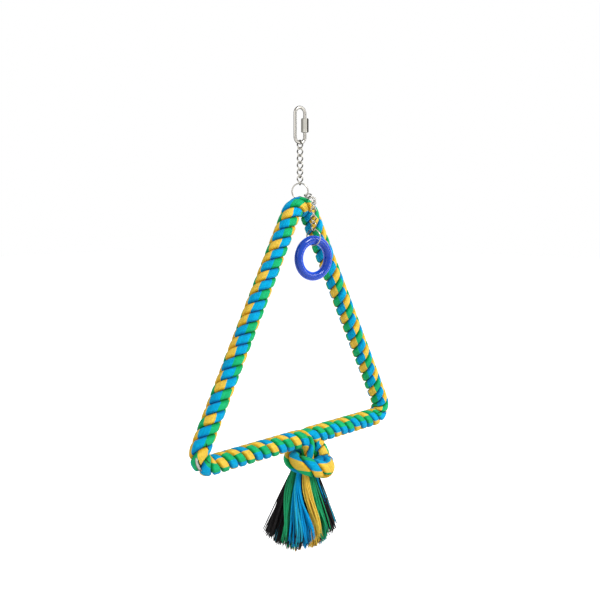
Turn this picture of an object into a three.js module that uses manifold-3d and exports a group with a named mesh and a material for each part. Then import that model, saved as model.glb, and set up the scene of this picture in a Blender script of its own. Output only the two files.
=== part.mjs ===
// Rope bird swing: a cotton rope triangle over a steel core wire, hung from a screw link
// by a short chain and a ring, with a knot and tassel under the perch and a plastic ring
// on a side chain. Millimetres, +Z up. The origin is where a hook bears, inside the top
// of the screw link. The triangle lies in the XZ plane and its perch runs along X.

import * as THREE from "three";
import { mergeVertices } from "three/addons/utils/BufferGeometryUtils.js";
import Module from "manifold-3d";

const wasm = await Module();
wasm.setup();

// Clearances and cutters
const touch_gap = 0.3;
const overrun = 6;

// Screw link
const link_wire = 3.2;
const link_length = 38.6;
const link_width = 15.4;
const link_turn_degrees = -12;
const stud_gap = 3.4;
const stud_engagement = 2;
const nut_length = 14.2;
const nut_across_flats = 6.6;
const nut_clearance = 0.35;

// Chain links, twisted so that they lie flat
const chain_wire = 1.3;
const chain_length = 10.1;
const chain_width = 6.7;
const chain_twist_degrees = 90;
const hanger_link_count = 6;
const hanger_turn_degrees = 7.4;

// Main ring
const ring_wire = 1.3;
const ring_diameter = 17.6;
const ring_turn_degrees = -48.3;

// Core wire and its eye
const core_wire = 3.2;
const eye_wire = 2.4;
const eye_opening = 6.2;
const eye_rise = 10.6;
const sleeve_length = 12;
const sleeve_wall = 1.2;
const sleeve_from_corner = 14;
const core_end_gap = 0.6;

// Rope triangle
const side_length = 300;
const apex_degrees = 60;
const rope_diameter = 20;
const apex_bend = 17;
const corner_bend = 13;
const rope_slot_width = 5;
const rope_slot_clearance = 0.7;

// Knot
const knot_offset_x = 8;
const knot_offset_y = -4;
const neck_diameter = 13.4;
const neck_reach = 12;
const neck_reach_share = 0.75;
const neck_drop = 16;
const neck_drop_share = 0.25;
const neck_end_share = 0.25;
const knot_rope = 19;
const knot_start_drop = 13;
const knot_pitch = 20;
const knot_start_degrees = -40;
const knot_turn_degrees = 420;
const knot_overrun_degrees = 2;
const end_clearance = 2;

// Tassel
const tassel_length = 90;
const tassel_width = 74;
const tassel_root_width = 28;
const lock_root_depth = 10;
const lock_tip_depth = 21;
const lock_end_share = 0.8;
const middle_fill_share = 0.8;
const outer_lock_count = 9;
const first_lock_degrees = 141.7;

// Side chain, small ring and plastic ring
const hook_degrees = -42;
const hook_gap = 0.47;
const side_chain_heading_degrees = -94;
const side_chain_tilt_degrees = [85, 52, 0, 0, 0, 0];
const side_chain_turn_degrees = 25;
const small_ring_turn_degrees = -82;
const toy_ring_diameter = 46.2;
const toy_ring_section = 9;
const toy_ring_turn_degrees = -12;

// Facets
const rope_sides = 16;
const nut_sides = 6;
const wire_sides = 8;
const fine_wire_sides = 6;
const bend_steps = 8;
const straight_steps = 2;
const twist_steps = 5;
const ring_steps = 32;
const neck_steps = 8;
const knot_steps = 28;
const lock_sides = 8;
const lock_steps = 6;

const FULL_TURN = 2 * Math.PI;
const QUARTER_TURN = Math.PI / 2;
const radians = THREE.MathUtils.degToRad;
const UP = new THREE.Vector3(0, 0, 1);
const DOWN = new THREE.Vector3(0, 0, -1);

// Heights, worked down from the hook's bearing point
const link_centre_z = link_wire - link_length / 2;
const link_floor_z = link_wire - link_length + link_wire;
const chain_pitch = chain_length - 2 * chain_wire - touch_gap;
const crown_seat = chain_wire + touch_gap;
const ring_radius = (ring_diameter - ring_wire) / 2;
const first_crown_z = link_floor_z + touch_gap + chain_wire / 2;
const last_crown_z = first_crown_z - hanger_link_count * chain_pitch - crown_seat;
const ring_seat = chain_wire / 2 + touch_gap + ring_wire / 2;
const ring_centre_z = last_crown_z + ring_seat - ring_radius;
const ring_low_z = ring_centre_z - ring_radius;
const eye_top_z = ring_low_z + ring_wire / 2 + touch_gap + eye_wire;
const apex_z = eye_top_z - eye_rise;
const apex_half_angle = radians(apex_degrees / 2);
const triangle_height = side_length * Math.cos(apex_half_angle);
const sharp_apex_z = apex_z + apex_bend / Math.sin(apex_half_angle) - apex_bend;
const perch_z = sharp_apex_z - triangle_height;

// A curve whose even steps fall on chosen stations: few along a straight, more round a bend
class SteppedPath extends THREE.Curve {
  constructor(outline, arc_steps, line_steps, place) {
    super();
    this.place = place;
    this.stations = [];
    outline.curves.forEach((curve, index) => {
      const steps = curve.isLineCurve ? line_steps : arc_steps;
      for (let step = index ? 1 : 0; step <= steps; step++) {
        this.stations.push([curve, step / steps]);
      }
    });
    this.steps = this.stations.length - 1;
  }

  getUtoTmapping(u) {
    return u;
  }

  getPoint(t) {
    const along = Math.min(Math.max(t, 0), 1) * this.steps;
    const before = Math.min(Math.floor(along), this.steps - 1);
    const [next_curve, next_share] = this.stations[before + 1];
    const [curve, share] = this.stations[before];
    const start_share = curve === next_curve ? share : 0;
    const here = THREE.MathUtils.lerp(start_share, next_share, along - before);
    return this.place(next_curve.getPoint(here));
  }
}

const upright = (point) => new THREE.Vector3(point.x, 0, point.y);

// Draws a straight run to where an arc starts, and then the arc
function runAndBend(outline, x, y, radius, start, end, clockwise) {
  outline.lineTo(x + radius * Math.cos(start), y + radius * Math.sin(start));
  outline.absarc(x, y, radius, start, end, clockwise);
}

function roundSection(radius, sides) {
  const points = [];
  for (let side = 0; side < sides; side++) {
    const angle = (side / sides) * FULL_TURN;
    points.push(new THREE.Vector2(radius * Math.cos(angle), radius * Math.sin(angle)));
  }
  return new THREE.Shape(points);
}

function tube(path, radius, sides, steps = path.steps) {
  const section = roundSection(radius, sides);
  return new THREE.ExtrudeGeometry(section, { steps, extrudePath: path, bevelEnabled: false });
}

// The corner radius of a faceted hole whose flats clear a round of the given radius
function clearRadius(radius, sides, gap = touch_gap) {
  return (radius + gap) / Math.cos(Math.PI / sides);
}

function solidOf(geometry) {
  const bare = geometry.clone();
  bare.deleteAttribute("normal");
  bare.deleteAttribute("uv");
  const merged = mergeVertices(bare);
  const vertProperties = new Float32Array(merged.attributes.position.array);
  const triVerts = new Uint32Array(merged.index.array);
  return new wasm.Manifold(new wasm.Mesh({ numProp: 3, vertProperties, triVerts }));
}

function geometryOf(solid) {
  const cut = solid.getMesh();
  const geometry = new THREE.BufferGeometry();
  geometry.setAttribute("position", new THREE.BufferAttribute(cut.vertProperties, 3));
  geometry.setIndex(new THREE.BufferAttribute(cut.triVerts, 1));
  geometry.computeVertexNormals();
  return geometry;
}

// A closed body through rings of points, each ring turning anticlockwise about the way ahead
function loft(rings) {
  const sides = rings[0].length;
  const points = rings.flat();
  const corners = [];
  for (let ring = 0; ring + 1 < rings.length; ring++) {
    for (let side = 0; side < sides; side++) {
      const a = ring * sides + side;
      const b = ring * sides + ((side + 1) % sides);
      corners.push(a, b, b + sides, a, b + sides, a + sides);
    }
  }
  const last = points.length - sides;
  for (let side = 1; side + 1 < sides; side++) {
    corners.push(0, side + 1, side, last, last + side, last + side + 1);
  }
  const geometry = new THREE.BufferGeometry().setFromPoints(points);
  geometry.setIndex(corners);
  geometry.computeVertexNormals();
  return geometry;
}

const steel = { color: 0xb9bcc0, roughness: 0.28, metalness: 1 };
const bright_steel = { color: 0xd2d4d8, roughness: 0.2, metalness: 1 };
const core_steel = { color: 0xa9acb0, roughness: 0.4, metalness: 1 };
const rope_blue = { color: 0x149ad2, roughness: 0.9, metalness: 0 };
const rope_green = { color: 0x35b06c, roughness: 0.9, metalness: 0 };
const rope_yellow = { color: 0xe6c250, roughness: 0.9, metalness: 0 };
const rope_black = { color: 0x1c1b1d, roughness: 0.95, metalness: 0 };
const blue_plastic = { color: 0x1668d8, roughness: 0.15, metalness: 0 };

const swing = new THREE.Group();

function addMesh(parent, name, geometry, finish) {
  const mesh = new THREE.Mesh(geometry, new THREE.MeshStandardMaterial(finish));
  mesh.name = name;
  parent.add(mesh);
  return mesh;
}

// Screw link: an oval of wire, open on one leg, and the long nut that closes it
function screwLinkPath() {
  const bend = (link_width - link_wire) / 2;
  const leg = link_length / 2 - link_width / 2;
  const upper_stud = nut_length / 2 - stud_engagement;
  const outline = new THREE.Path();
  outline.moveTo(bend, upper_stud - stud_gap);
  runAndBend(outline, 0, -leg, bend, 0, -Math.PI, true);
  runAndBend(outline, 0, leg, bend, Math.PI, 0, true);
  outline.lineTo(bend, upper_stud);
  return new SteppedPath(outline, bend_steps, 1, upright);
}

function nutGeometry() {
  const bore = clearRadius(link_wire / 2, rope_sides, nut_clearance);
  const hexagon = roundSection(clearRadius(nut_across_flats / 2, nut_sides, 0), nut_sides);
  hexagon.holes.push(roundSection(bore, rope_sides));
  const geometry = new THREE.ExtrudeGeometry(hexagon, { depth: nut_length, bevelEnabled: false });
  return geometry.translate(0, 0, -nut_length / 2);
}

function addScrewLink() {
  const link = new THREE.Group();
  link.position.z = link_centre_z;
  link.rotation.z = radians(link_turn_degrees);
  addMesh(link, "quick_link_body", tube(screwLinkPath(), link_wire / 2, wire_sides), bright_steel);
  const nut = addMesh(link, "quick_link_nut", nutGeometry(), bright_steel);
  nut.position.x = (link_width - link_wire) / 2;
  swing.add(link);
}

// One chain link, standing along Z, its crown's tangent along X at the top
function chainLinkGeometry() {
  const half_width = (chain_width - chain_wire) / 2;
  const half_length = (chain_length - chain_wire) / 2;
  const leg = half_length - half_width;
  const outline = new THREE.Path();
  outline.absarc(0, leg, half_width, 0, Math.PI, false);
  runAndBend(outline, 0, -leg, half_width, Math.PI, FULL_TURN, false);
  outline.lineTo(half_width, leg);
  const twist = radians(chain_twist_degrees);
  const twisted = (point) => {
    const down_leg = THREE.MathUtils.clamp((leg - point.y) / (2 * leg), 0, 1);
    const turn = twist * down_leg;
    return new THREE.Vector3(point.x * Math.cos(turn), point.x * Math.sin(turn), point.y);
  };
  const path = new SteppedPath(outline, bend_steps, twist_steps, twisted);
  return new THREE.TubeGeometry(path, path.steps, chain_wire / 2, fine_wire_sides, true);
}

const chain_link = chainLinkGeometry();

// Hangs a link from a wire at seat that runs along seat_tangent. The link points along the
// way down it and its crown runs along tangent. Returns its own lower crown as the next wire.
function addChainLink(name, seat, seat_tangent, along, tangent, seat_distance) {
  const upward = along.clone().negate();
  const lift = upward.clone().addScaledVector(seat_tangent, -upward.dot(seat_tangent)).normalize();
  const across = tangent.clone().addScaledVector(upward, -tangent.dot(upward)).normalize();
  const third = upward.clone().cross(across);
  const link = new THREE.Group();
  link.quaternion.setFromRotationMatrix(new THREE.Matrix4().makeBasis(across, third, upward));
  link.position.copy(seat).addScaledVector(lift, seat_distance);
  const mesh = addMesh(link, name, chain_link, steel);
  mesh.position.z = -(chain_length - chain_wire) / 2;
  swing.add(link);
  const crown = link.position.clone().addScaledVector(along, chain_length - chain_wire);
  const crown_tangent = across.clone().applyAxisAngle(upward, radians(chain_twist_degrees));
  return { crown, crown_tangent };
}

function levelDirection(degrees) {
  return new THREE.Vector3(Math.cos(radians(degrees)), Math.sin(radians(degrees)), 0);
}

// The direction that lies at an angle between two square ones
function between(first, second, angle) {
  return first.clone().multiplyScalar(Math.cos(angle)).addScaledVector(second, Math.sin(angle));
}

function addHangerChain() {
  let seat = new THREE.Vector3(0, 0, link_floor_z - link_wire / 2);
  let seat_tangent = levelDirection(link_turn_degrees);
  let seat_distance = link_wire / 2 + touch_gap + chain_wire / 2;
  for (let count = 1; count <= hanger_link_count; count++) {
    const turn = link_turn_degrees + count * hanger_turn_degrees;
    const tangent = levelDirection(turn).applyAxisAngle(UP, QUARTER_TURN);
    const name = "hanger_link_" + count;
    const link = addChainLink(name, seat, seat_tangent, DOWN, tangent, seat_distance);
    seat = link.crown;
    seat_tangent = link.crown_tangent;
    seat_distance = crown_seat;
  }
}

function ringGeometry(diameter, section, sides) {
  const ring = new THREE.TorusGeometry((diameter - section) / 2, section / 2, sides, ring_steps);
  return ring.rotateX(QUARTER_TURN);
}

function addRing(name, geometry, centre, turn_degrees, finish) {
  const ring = addMesh(swing, name, geometry, finish);
  ring.position.copy(centre);
  ring.rotation.z = radians(turn_degrees);
}

const wire_ring = ringGeometry(ring_diameter, ring_wire, wire_sides);
const main_ring_centre = new THREE.Vector3(0, 0, ring_centre_z);

// The triangle's centreline, clockwise seen from the front, from one place on the perch
// up the left side, over the apex, down the right side and back along the perch
function cornerCentre(side) {
  const run = corner_bend / Math.tan(apex_half_angle);
  return new THREE.Vector2(side * (side_length / 2 - run), perch_z + corner_bend);
}

function bendAtCorner(outline, side) {
  const centre = cornerCentre(side);
  const perch_angle = -QUARTER_TURN;
  const side_angle = apex_half_angle;
  if (side < 0) {
    const left_angle = -Math.PI - side_angle;
    runAndBend(outline, centre.x, centre.y, corner_bend, perch_angle, left_angle, true);
  } else {
    runAndBend(outline, centre.x, centre.y, corner_bend, side_angle, perch_angle, true);
  }
}

function bendAtApex(outline) {
  const start = Math.PI - apex_half_angle;
  runAndBend(outline, 0, apex_z - apex_bend, apex_bend, start, apex_half_angle, true);
}

function loopPath(start_x, end_x) {
  const outline = new THREE.Path();
  outline.moveTo(start_x, perch_z);
  bendAtCorner(outline, -1);
  bendAtApex(outline);
  bendAtCorner(outline, 1);
  outline.lineTo(end_x, perch_z);
  return new SteppedPath(outline, bend_steps, straight_steps, upright);
}

// A point on the left side, measured up from where the corner's bend ends
function leftSidePoint(distance) {
  const centre = cornerCentre(-1);
  const outward = new THREE.Vector2(-Math.cos(apex_half_angle), Math.sin(apex_half_angle));
  const up_side = new THREE.Vector2(Math.sin(apex_half_angle), Math.cos(apex_half_angle));
  return centre.addScaledVector(outward, corner_bend).addScaledVector(up_side, distance);
}

// Core wire: a bent triangle whose ends meet in a crimped sleeve, with an eye at the apex
function coreGeometry() {
  const above = leftSidePoint(sleeve_from_corner + core_end_gap / 2);
  const below = leftSidePoint(sleeve_from_corner - core_end_gap / 2);
  const outline = new THREE.Path();
  outline.moveTo(above.x, above.y);
  bendAtApex(outline);
  bendAtCorner(outline, 1);
  bendAtCorner(outline, -1);
  outline.lineTo(below.x, below.y);
  const path = new SteppedPath(outline, bend_steps, straight_steps, upright);
  const loop = solidOf(tube(path, core_wire / 2, wire_sides));
  return geometryOf(loop.add(solidOf(eyeGeometry())));
}

function eyeGeometry() {
  const bend = (eye_opening + eye_wire) / 2;
  const foot_z = apex_z - apex_bend + Math.sqrt(apex_bend ** 2 - bend ** 2);
  const outline = new THREE.Path();
  outline.moveTo(-bend, foot_z);
  runAndBend(outline, 0, eye_top_z - eye_wire / 2 - bend, bend, Math.PI, 0, true);
  outline.lineTo(bend, foot_z);
  return tube(new SteppedPath(outline, bend_steps, 1, upright), eye_wire / 2, wire_sides);
}

const sleeve_bore = clearRadius(core_wire / 2, rope_sides);
const sleeve_radius = sleeve_bore + sleeve_wall;

function leanWithLeftSide(geometry) {
  const centre = leftSidePoint(sleeve_from_corner);
  geometry.rotateX(QUARTER_TURN).rotateY(apex_half_angle);
  return geometry.translate(centre.x, 0, centre.y);
}

function sleeveGeometry() {
  const half = sleeve_length / 2;
  const profile = [
    new THREE.Vector2(sleeve_bore, -half),
    new THREE.Vector2(sleeve_radius, -half),
    new THREE.Vector2(sleeve_radius, half),
    new THREE.Vector2(sleeve_bore, half),
    new THREE.Vector2(sleeve_bore, -half),
  ];
  return leanWithLeftSide(new THREE.LatheGeometry(profile, rope_sides));
}

// Where the knot stands and the perch's rope ends stop on either side of it
const neck_top_x = knot_offset_x - neck_reach;
const rope_right_x = knot_offset_x + neck_diameter / 2 + end_clearance;
const knot_end_z = perch_z - knot_start_drop - (knot_pitch * knot_turn_degrees) / 360;
const neck_end_z = knot_end_z + knot_rope * neck_end_share;

const bore_radius = clearRadius(core_wire / 2, wire_sides);

function perchLine(start_x, end_x) {
  return new THREE.LineCurve3(
    new THREE.Vector3(start_x, 0, perch_z),
    new THREE.Vector3(end_x, 0, perch_z),
  );
}

function slotSolid(length, width, bottom_z, turn_degrees) {
  const height = eye_top_z + overrun - bottom_z;
  const slot = new THREE.BoxGeometry(length, width, height);
  slot.rotateZ(radians(turn_degrees)).translate(0, 0, bottom_z + height / 2);
  return solidOf(slot);
}

function ropeGeometry() {
  const path = loopPath(neck_top_x, rope_right_x);
  const rope = solidOf(tube(path, rope_diameter / 2, rope_sides));
  const eye_width = eye_opening + 2 * (eye_wire + rope_slot_clearance);
  const eye_slot = slotSolid(eye_width, eye_wire + 2 * rope_slot_clearance, apex_z, 0);
  const ring_bottom_z = ring_low_z - ring_wire / 2 - rope_slot_clearance;
  const ring_slot = slotSolid(ring_diameter, rope_slot_width, ring_bottom_z, ring_turn_degrees);
  const pocket_radius = clearRadius(sleeve_radius, rope_sides);
  const pocket_length = sleeve_length + 2 * touch_gap;
  const pocket = new THREE.CylinderGeometry(pocket_radius, pocket_radius, pocket_length, rope_sides);
  const bore_path = loopPath(neck_top_x + overrun, rope_right_x - overrun);
  const bore = solidOf(tube(bore_path, bore_radius, wire_sides));
  const cut = rope.subtract(bore).subtract(eye_slot).subtract(ring_slot);
  return geometryOf(cut.subtract(solidOf(leanWithLeftSide(pocket))));
}

// The knot's wrap: the right rope end, wound round the neck in one falling turn
class KnotPath extends THREE.Curve {
  constructor(overrun_degrees) {
    super();
    this.from = -overrun_degrees;
    this.to = knot_turn_degrees + overrun_degrees;
  }

  getPoint(t) {
    const turned = THREE.MathUtils.lerp(this.from, this.to, t);
    const angle = radians(knot_start_degrees + turned);
    const radius = (neck_diameter + knot_rope) / 2 + touch_gap;
    return new THREE.Vector3(
      knot_offset_x + radius * Math.cos(angle),
      knot_offset_y + radius * Math.sin(angle),
      perch_z - knot_start_drop - (turned * knot_pitch) / 360,
    );
  }
}

const knot_path = new KnotPath(0);

function leastKnotGap() {
  const points = knot_path.getPoints(knot_turn_degrees);
  const turn_points = knot_turn_degrees - 360;
  let least = Infinity;
  for (let index = 0; index <= turn_points; index++) {
    for (let other = index + 360 - turn_points; other < points.length; other++) {
      least = Math.min(least, points[index].distanceTo(points[other]));
    }
  }
  return least - knot_rope;
}

console.log("least gap between the knot's turns: " + leastKnotGap().toFixed(2) + " mm");

function knotClearance() {
  const radius = clearRadius(knot_rope / 2, rope_sides);
  return solidOf(tube(new KnotPath(knot_overrun_degrees), radius, rope_sides, knot_steps));
}

function knotGeometry() {
  const wrap = solidOf(tube(knot_path, knot_rope / 2, rope_sides, knot_steps));
  const radius = clearRadius(rope_diameter / 2, rope_sides);
  const perch = tube(perchLine(side_length / 2, -side_length / 2), radius, rope_sides, 1);
  return geometryOf(wrap.subtract(solidOf(perch)));
}

// The knot's neck: the left rope end, drawn in and turned down through the wrap
function neckGeometry() {
  const top = new THREE.Vector3(neck_top_x + touch_gap, 0, perch_z);
  const ahead = new THREE.Vector3(neck_top_x + neck_reach * neck_reach_share, 0, perch_z);
  const turn_z = perch_z - neck_drop * neck_drop_share;
  const turn = new THREE.Vector3(knot_offset_x, knot_offset_y, turn_z);
  const shoulder = new THREE.Vector3(knot_offset_x, knot_offset_y, perch_z - neck_drop);
  const bend = new THREE.CubicBezierCurve3(top, ahead, turn, shoulder);
  const frames = bend.computeFrenetFrames(neck_steps, false);
  const rings = bend.getSpacedPoints(neck_steps).map((centre, step) => {
    const radius = THREE.MathUtils.lerp(rope_diameter / 2, neck_diameter / 2, step / neck_steps);
    return ringAround(centre, frames.normals[step], frames.binormals[step], radius);
  });
  const last = rings[neck_steps];
  rings.push(last.map((point) => new THREE.Vector3(point.x, point.y, neck_end_z)));
  const bore = tube(perchLine(rope_right_x, neck_top_x - overrun), bore_radius, wire_sides, 1);
  return geometryOf(solidOf(loft(rings)).subtract(solidOf(bore)).subtract(knotClearance()));
}

function ringAround(centre, normal, binormal, radius) {
  const points = [];
  for (let side = 0; side < rope_sides; side++) {
    const angle = (side / rope_sides) * FULL_TURN;
    const point = centre.clone().addScaledVector(normal, radius * Math.cos(angle));
    points.push(point.addScaledVector(binormal, radius * Math.sin(angle)));
  }
  return points;
}

// Tassel: tapered locks of yarn that fan out from under the knot, and one in the middle
const tassel_top_z = neck_end_z - touch_gap;
const root_reach = (tassel_root_width - lock_root_depth) / 2;
const tip_reach = (tassel_width - lock_tip_depth) / 2;

function lockRing(reach, half_depth, half_width, angle, z) {
  const outward = levelDirection(angle);
  const along = outward.clone().applyAxisAngle(UP, QUARTER_TURN);
  const points = [];
  for (let side = 0; side < lock_sides; side++) {
    const around = -(side / lock_sides) * FULL_TURN;
    const point = outward.clone().multiplyScalar(reach + half_depth * Math.cos(around));
    point.addScaledVector(along, half_width * Math.sin(around));
    points.push(point.add(new THREE.Vector3(knot_offset_x, knot_offset_y, z)));
  }
  return points;
}

// The reach and half depth of an outer lock, a share of the way down the tassel
function lockPlace(share) {
  const flare = Math.sin(share * QUARTER_TURN);
  const reach = THREE.MathUtils.lerp(root_reach, tip_reach, flare);
  const half_depth = THREE.MathUtils.lerp(lock_root_depth, lock_tip_depth, share) / 2;
  return { reach, half_depth };
}

function lockGeometry(ringAt) {
  const rings = [];
  for (let step = 0; step <= lock_steps; step++) {
    const share = step / lock_steps;
    const closing = step === lock_steps ? lock_end_share : 1;
    rings.push(ringAt(share, closing, tassel_top_z - share * tassel_length));
  }
  return geometryOf(solidOf(loft(rings)).subtract(knotClearance()));
}

function outerLock(angle) {
  const slope = Math.tan(Math.PI / outer_lock_count);
  return lockGeometry((share, closing, z) => {
    const { reach, half_depth } = lockPlace(share);
    const half_width = slope * Math.sqrt(reach ** 2 - half_depth ** 2) - touch_gap / 2;
    return lockRing(reach, closing * half_depth, closing * half_width, angle, z);
  });
}

function middleLock() {
  return lockGeometry((share, closing, z) => {
    const { reach, half_depth } = lockPlace(share);
    const radius = closing * middle_fill_share * (reach - half_depth);
    return lockRing(0, radius, radius, 0, z);
  });
}

function addTassel() {
  const finishes = [rope_black, rope_green, rope_blue, rope_yellow, rope_green, rope_blue];
  for (let count = 1; count <= outer_lock_count; count++) {
    const angle = first_lock_degrees + ((count - 1) * 360) / outer_lock_count;
    const finish = finishes[(count - 1) % finishes.length];
    addMesh(swing, "tassel_lock_" + count, outerLock(angle), finish);
  }
  addMesh(swing, "tassel_lock_middle", middleLock(), rope_yellow);
}

// Side chain: hooked on the main ring, laid over the rope's front shoulder, then hanging
function addSideChain() {
  const hook_angle = radians(hook_degrees);
  const level = levelDirection(ring_turn_degrees);
  const radial = between(level, UP, hook_angle);
  let seat = main_ring_centre.clone().addScaledVector(radial, ring_radius);
  let seat_tangent = between(level, UP, hook_angle + QUARTER_TURN);
  let seat_distance = ring_wire / 2 + hook_gap + chain_wire / 2;
  const heading = levelDirection(side_chain_heading_degrees);
  side_chain_tilt_degrees.forEach((tilt_degrees, index) => {
    const along = between(DOWN, heading, radians(tilt_degrees));
    const square = along.clone().cross(seat_tangent).normalize();
    const turn = index ? radians(side_chain_turn_degrees) : 0;
    const tangent = square.applyAxisAngle(along, turn);
    const name = "toy_link_" + (index + 1);
    const link = addChainLink(name, seat, seat_tangent, along, tangent, seat_distance);
    seat = link.crown;
    seat_tangent = link.crown_tangent;
    seat_distance = crown_seat;
  });
  return seat;
}

function addToyRings(seat) {
  const small = seat.clone();
  small.z += ring_seat - ring_radius;
  addRing("toy_small_ring", wire_ring, small, small_ring_turn_degrees, steel);
  const toy = small.clone();
  const hang = ring_radius - ring_wire / 2 - touch_gap;
  toy.z -= hang + toy_ring_diameter / 2 - toy_ring_section;
  const plastic = ringGeometry(toy_ring_diameter, toy_ring_section, rope_sides);
  addRing("toy_ring", plastic, toy, toy_ring_turn_degrees, blue_plastic);
}

addScrewLink();
addHangerChain();
addRing("main_ring", wire_ring, main_ring_centre, ring_turn_degrees, steel);
addMesh(swing, "core_wire", coreGeometry(), core_steel);
addMesh(swing, "core_sleeve", sleeveGeometry(), core_steel);
addMesh(swing, "rope", ropeGeometry(), rope_blue);
addMesh(swing, "knot_neck", neckGeometry(), rope_green);
addMesh(swing, "knot_wrap", knotGeometry(), rope_yellow);
addTassel();
addToyRings(addSideChain());

export default swing;
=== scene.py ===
"""Rope bird swing: the looks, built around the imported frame. Lengths here are in
millimetres and become metres where a mesh is made. Z is up, the triangle lies in the XZ
plane, and the origin is where a hook bears inside the top of the screw link."""

import math
import random

import bpy
from mathutils import Matrix, Vector


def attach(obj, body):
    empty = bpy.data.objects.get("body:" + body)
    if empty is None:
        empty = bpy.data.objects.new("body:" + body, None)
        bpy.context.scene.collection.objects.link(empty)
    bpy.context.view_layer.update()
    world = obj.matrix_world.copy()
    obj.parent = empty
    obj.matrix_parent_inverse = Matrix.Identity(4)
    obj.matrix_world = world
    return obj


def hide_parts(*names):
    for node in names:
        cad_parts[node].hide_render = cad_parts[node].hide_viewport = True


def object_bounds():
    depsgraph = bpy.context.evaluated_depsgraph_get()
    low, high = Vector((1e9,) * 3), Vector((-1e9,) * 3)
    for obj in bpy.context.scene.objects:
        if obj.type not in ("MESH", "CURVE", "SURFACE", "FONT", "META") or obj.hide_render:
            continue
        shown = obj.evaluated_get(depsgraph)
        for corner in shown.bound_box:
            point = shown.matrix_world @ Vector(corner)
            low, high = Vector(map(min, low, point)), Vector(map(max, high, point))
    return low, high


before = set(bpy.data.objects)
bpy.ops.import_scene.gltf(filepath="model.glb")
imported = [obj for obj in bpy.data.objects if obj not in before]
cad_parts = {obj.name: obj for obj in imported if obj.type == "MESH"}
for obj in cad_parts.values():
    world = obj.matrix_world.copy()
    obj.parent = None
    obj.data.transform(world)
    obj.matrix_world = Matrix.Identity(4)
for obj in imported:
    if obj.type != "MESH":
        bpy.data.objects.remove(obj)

cad_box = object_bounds()
draws = random.Random(7)

MM = 0.001
UP = Vector((0, 0, 1))
DOWN = Vector((0, 0, -1))
FRONT = Vector((0, -1, 0))

# ---------------------------------------------------------------- sizes, as in the CAD
touch_gap = 0.3
link_wire, link_length, link_width, link_turn = 3.2, 38.6, 15.4, -12
nut_length, nut_across_flats, nut_clearance = 14.2, 6.6, 0.35
stud_gap, stud_engagement = 3.4, 2
chain_wire, chain_length, chain_width, chain_twist = 1.3, 10.1, 6.7, 90
hanger_link_count, hanger_turn = 6, 7.4
ring_wire, ring_diameter, ring_turn = 1.3, 17.6, -48.3
core_wire, eye_wire, eye_opening, eye_rise = 3.2, 2.4, 6.2, 10.6
side_length, rope_radius, apex_bend, corner_bend = 300, 10, 17, 13
knot_x, knot_y = 8, -4
neck_radius, neck_reach = 6.7, 12
knot_radius, knot_start_drop, knot_pitch, knot_turn = 9.5, 13, 20, 420
tassel_length = 90
hook_angle, hook_gap = -42, 0.47
side_chain_heading, side_chain_tilts, side_chain_turn = -94, (85, 52, 0, 0, 0, 0), 25
small_ring_turn, toy_ring_turn = -82, -12
toy_ring_diameter, toy_ring_section = 46.2, 9

link_centre_z = link_wire - link_length / 2
link_floor_z = 2 * link_wire - link_length
chain_pitch = chain_length - 2 * chain_wire - touch_gap
crown_seat = chain_wire + touch_gap
ring_radius = (ring_diameter - ring_wire) / 2
first_crown_z = link_floor_z + touch_gap + chain_wire / 2
last_crown_z = first_crown_z - hanger_link_count * chain_pitch - crown_seat
ring_seat = chain_wire / 2 + touch_gap + ring_wire / 2
ring_centre_z = last_crown_z + ring_seat - ring_radius
eye_top_z = ring_centre_z - ring_radius + ring_wire / 2 + touch_gap + eye_wire
apex_z = eye_top_z - eye_rise
half_apex = math.radians(30)
sharp_apex_z = apex_z + apex_bend / math.sin(half_apex) - apex_bend
perch_z = sharp_apex_z - side_length * math.cos(half_apex)
neck_top_x = knot_x - neck_reach
rope_right_x = knot_x + neck_radius + 2
knot_end_z = perch_z - knot_start_drop - knot_pitch * knot_turn / 360
neck_end_z = knot_end_z + knot_radius / 2

# ---------------------------------------------------------------- small geometry helpers


def lerp(a, b, t):
    return a + (b - a) * t


def smooth(t):
    t = min(max(t, 0), 1)
    return t * t * (3 - 2 * t)


def anchored(table, x):
    """The value at x of a table of (place, value) anchors, straight between them."""
    for (x0, y0), (x1, y1) in zip(table, table[1:]):
        if x <= x1:
            return lerp(y0, y1, min(max((x - x0) / (x1 - x0), 0), 1))
    return table[-1][1]


def level(degrees):
    return Vector((math.cos(math.radians(degrees)), math.sin(math.radians(degrees)), 0))


def turned(vector, axis, degrees):
    return Matrix.Rotation(math.radians(degrees), 3, axis) @ vector


def between(first, second, degrees):
    angle = math.radians(degrees)
    return first * math.cos(angle) + second * math.sin(angle)


def arc(centre, radius, start, end, across, upward, step=0.6):
    """Points from start to end degrees about a centre, in the plane of two directions."""
    count = max(2, math.ceil(abs(math.radians(end - start)) * radius / step))
    return [centre + radius * between(across, upward, lerp(start, end, i / count))
            for i in range(count + 1)]


def joined(*runs):
    """One list of points from several, without the doubled points where they meet."""
    points = []
    for run in runs:
        for point in run:
            if not points or (point - points[-1]).length > 1e-4:
                points.append(point)
    return points


def resampled(points, step):
    """The same line with a point at every even step along it, and both of its ends."""
    lengths = [0]
    for a, b in zip(points, points[1:]):
        lengths.append(lengths[-1] + (b - a).length)
    count = max(2, round(lengths[-1] / step))
    result, index = [], 0
    for number in range(count + 1):
        want = lengths[-1] * number / count
        while index < len(points) - 2 and lengths[index + 1] < want:
            index += 1
        share = (want - lengths[index]) / (lengths[index + 1] - lengths[index])
        result.append(points[index].lerp(points[index + 1], min(max(share, 0), 1)))
    return result


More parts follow.
